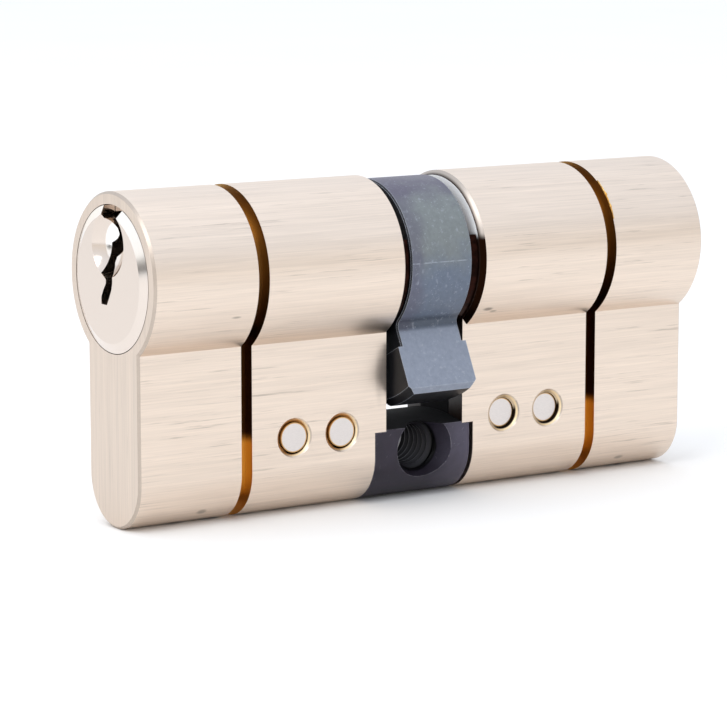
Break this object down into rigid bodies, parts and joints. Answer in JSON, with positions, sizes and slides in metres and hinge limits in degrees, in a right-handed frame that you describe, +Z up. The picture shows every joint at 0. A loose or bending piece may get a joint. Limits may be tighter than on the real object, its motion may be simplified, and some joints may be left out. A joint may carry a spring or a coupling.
{
  "type": "euro cylinder",
  "caption": "Double euro-profile lock cylinder: keyed plugs at both ends, a cam with a driving lever between them, snap grooves, and a threaded hole for the fixing screw.",
  "frame": {"origin": "on the axis of the fixing screw, at the middle of the leg's thickness and of the cylinder's length; the plugs' axis is 19.2 mm above it", "axes": "+X along the cylinder from side a to side b, -Y out of the fixing-screw hole on the side the cam lever points to, +Z up from the leg to the head"},
  "size_m": [0.0668, 0.017, 0.033],
  "materials": {
    "nickel_body": "brass, brushed along its length and satin nickel plated",
    "nickel_plug": "brass, polished and nickel plated",
    "steel_pins": "bright hardened steel",
    "brass_plugs": "turned brass, filed flush",
    "brass_pins": "turned brass",
    "spring_steel": "phosphated spring steel",
    "spring_wire": "drawn stainless wire",
    "black_steel": "black oxide on milled steel",
    "cam_steel": "black oxide on sintered steel, worn blue-grey"
  },
  "bodies": {
    "body": {"body_half_a": "nickel_body", "body_half_b": "nickel_body", "bridge": "black_steel", "cross_pins_a": "steel_pins", "cross_pins_b": "steel_pins", "chamber_plugs_a": "brass_plugs", "chamber_plugs_b": "brass_plugs", "pin_spring_a_1": "spring_wire", "pin_spring_a_2": "spring_wire", "pin_spring_a_3": "spring_wire", "pin_spring_a_4": "spring_wire", "pin_spring_a_5": "spring_wire", "pin_spring_b_1": "spring_wire", "pin_spring_b_2": "spring_wire", "pin_spring_b_3": "spring_wire", "pin_spring_b_4": "spring_wire", "pin_spring_b_5": "spring_wire"},
    "plug_a": {"plug_a": "nickel_plug", "circlip_a": "spring_steel"},
    "plug_b": {"plug_b": "nickel_plug", "circlip_b": "spring_steel"},
    "cam": {"cam": "cam_steel"},
    "clutch_dog_a": {"clutch_dog_a": "steel_pins"},
    "clutch_dog_b": {"clutch_dog_b": "steel_pins"},
    "key_pin_a_1": {"key_pin_a_1": "brass_pins"},
    "driver_pin_a_1": {"driver_pin_a_1": "brass_pins"},
    "key_pin_a_2": {"key_pin_a_2": "brass_pins"},
    "driver_pin_a_2": {"driver_pin_a_2": "brass_pins"},
    "key_pin_a_3": {"key_pin_a_3": "brass_pins"},
    "driver_pin_a_3": {"driver_pin_a_3": "brass_pins"},
    "key_pin_a_4": {"key_pin_a_4": "brass_pins"},
    "driver_pin_a_4": {"driver_pin_a_4": "brass_pins"},
    "key_pin_a_5": {"key_pin_a_5": "brass_pins"},
    "driver_pin_a_5": {"driver_pin_a_5": "brass_pins"},
    "key_pin_b_1": {"key_pin_b_1": "brass_pins"},
    "driver_pin_b_1": {"driver_pin_b_1": "brass_pins"},
    "key_pin_b_2": {"key_pin_b_2": "brass_pins"},
    "driver_pin_b_2": {"driver_pin_b_2": "brass_pins"},
    "key_pin_b_3": {"key_pin_b_3": "brass_pins"},
    "driver_pin_b_3": {"driver_pin_b_3": "brass_pins"},
    "key_pin_b_4": {"key_pin_b_4": "brass_pins"},
    "driver_pin_b_4": {"driver_pin_b_4": "brass_pins"},
    "key_pin_b_5": {"key_pin_b_5": "brass_pins"},
    "driver_pin_b_5": {"driver_pin_b_5": "brass_pins"}
  },
  "joints": [
    {"name": "plug_a_turn", "type": "hinge", "parent": "body", "child": "plug_a", "pos_m": [0, 0, 0.0192], "axis": [1, 0, 0], "continuous": true},
    {"name": "plug_b_turn", "type": "hinge", "parent": "body", "child": "plug_b", "pos_m": [0, 0, 0.0192], "axis": [1, 0, 0], "continuous": true},
    {"name": "cam_turn", "type": "hinge", "parent": "body", "child": "cam", "pos_m": [0, 0, 0.0192], "axis": [1, 0, 0], "continuous": true},
    {"name": "clutch_dog_a_slide", "type": "slide", "parent": "plug_a", "child": "clutch_dog_a", "axis": [-1, 0, 0], "range_m": [0, 0.0029]},
    {"name": "clutch_dog_b_slide", "type": "slide", "parent": "plug_b", "child": "clutch_dog_b", "axis": [-1, 0, 0], "range_m": [0, 0.0029]},
    {"name": "key_pin_a_1_lift", "type": "slide", "parent": "plug_a", "child": "key_pin_a_1", "axis": [0, 0, 1], "range_m": [0, 0.00239]},
    {"name": "driver_pin_a_1_drop", "type": "slide", "parent": "body", "child": "driver_pin_a_1", "axis": [0, 0, -1], "range_m": [0, 0.0014], "stiffness_N_per_m": 70, "springref_m": -0.003, "deforming": ["pin_spring_a_1"]},
    {"name": "key_pin_a_2_lift", "type": "slide", "parent": "plug_a", "child": "key_pin_a_2", "axis": [0, 0, 1], "range_m": [0, 0.00109]},
    {"name": "driver_pin_a_2_drop", "type": "slide", "parent": "body", "child": "driver_pin_a_2", "axis": [0, 0, -1], "range_m": [0, 0.0014], "stiffness_N_per_m": 70, "springref_m": -0.003, "deforming": ["pin_spring_a_2"]},
    {"name": "key_pin_a_3_lift", "type": "slide", "parent": "plug_a", "child": "key_pin_a_3", "axis": [0, 0, 1], "range_m": [0, 0.00199]},
    {"name": "driver_pin_a_3_drop", "type": "slide", "parent": "body", "child": "driver_pin_a_3", "axis": [0, 0, -1], "range_m": [0, 0.0014], "stiffness_N_per_m": 70, "springref_m": -0.003, "deforming": ["pin_spring_a_3"]},
    {"name": "key_pin_a_4_lift", "type": "slide", "parent": "plug_a", "child": "key_pin_a_4", "axis": [0, 0, 1], "range_m": [0, 0.00059]},
    {"name": "driver_pin_a_4_drop", "type": "slide", "parent": "body", "child": "driver_pin_a_4", "axis": [0, 0, -1], "range_m": [0, 0.0014], "stiffness_N_per_m": 70, "springref_m": -0.003, "deforming": ["pin_spring_a_4"]},
    {"name": "key_pin_a_5_lift", "type": "slide", "parent": "plug_a", "child": "key_pin_a_5", "axis": [0, 0, 1], "range_m": [0, 0.00279]},
    {"name": "driver_pin_a_5_drop", "type": "slide", "parent": "body", "child": "driver_pin_a_5", "axis": [0, 0, -1], "range_m": [0, 0.0014], "stiffness_N_per_m": 70, "springref_m": -0.003, "deforming": ["pin_spring_a_5"]},
    {"name": "key_pin_b_1_lift", "type": "slide", "parent": "plug_b", "child": "key_pin_b_1", "axis": [0, 0, 1], "range_m": [0, 0.00239]},
    {"name": "driver_pin_b_1_drop", "type": "slide", "parent": "body", "child": "driver_pin_b_1", "axis": [0, 0, -1], "range_m": [0, 0.0014], "stiffness_N_per_m": 70, "springref_m": -0.003, "deforming": ["pin_spring_b_1"]},
    {"name": "key_pin_b_2_lift", "type": "slide", "parent": "plug_b", "child": "key_pin_b_2", "axis": [0, 0, 1], "range_m": [0, 0.00109]},
    {"name": "driver_pin_b_2_drop", "type": "slide", "parent": "body", "child": "driver_pin_b_2", "axis": [0, 0, -1], "range_m": [0, 0.0014], "stiffness_N_per_m": 70, "springref_m": -0.003, "deforming": ["pin_spring_b_2"]},
    {"name": "key_pin_b_3_lift", "type": "slide", "parent": "plug_b", "child": "key_pin_b_3", "axis": [0, 0, 1], "range_m": [0, 0.00199]},
    {"name": "driver_pin_b_3_drop", "type": "slide", "parent": "body", "child": "driver_pin_b_3", "axis": [0, 0, -1], "range_m": [0, 0.0014], "stiffness_N_per_m": 70, "springref_m": -0.003, "deforming": ["pin_spring_b_3"]},
    {"name": "key_pin_b_4_lift", "type": "slide", "parent": "plug_b", "child": "key_pin_b_4", "axis": [0, 0, 1], "range_m": [0, 0.00059]},
    {"name": "driver_pin_b_4_drop", "type": "slide", "parent": "body", "child": "driver_pin_b_4", "axis": [0, 0, -1], "range_m": [0, 0.0014], "stiffness_N_per_m": 70, "springref_m": -0.003, "deforming": ["pin_spring_b_4"]},
    {"name": "key_pin_b_5_lift", "type": "slide", "parent": "plug_b", "child": "key_pin_b_5", "axis": [0, 0, 1], "range_m": [0, 0.00279]},
    {"name": "driver_pin_b_5_drop", "type": "slide", "parent": "body", "child": "driver_pin_b_5", "axis": [0, 0, -1], "range_m": [0, 0.0014], "stiffness_N_per_m": 70, "springref_m": -0.003, "deforming": ["pin_spring_b_5"]}
  ],
  "couplings": [
    {"joint": "cam_turn", "follows": "plug_a_turn", "ratio": 1},
    {"joint": "clutch_dog_b_slide", "follows": "clutch_dog_a_slide", "ratio": 1}
  ]
}
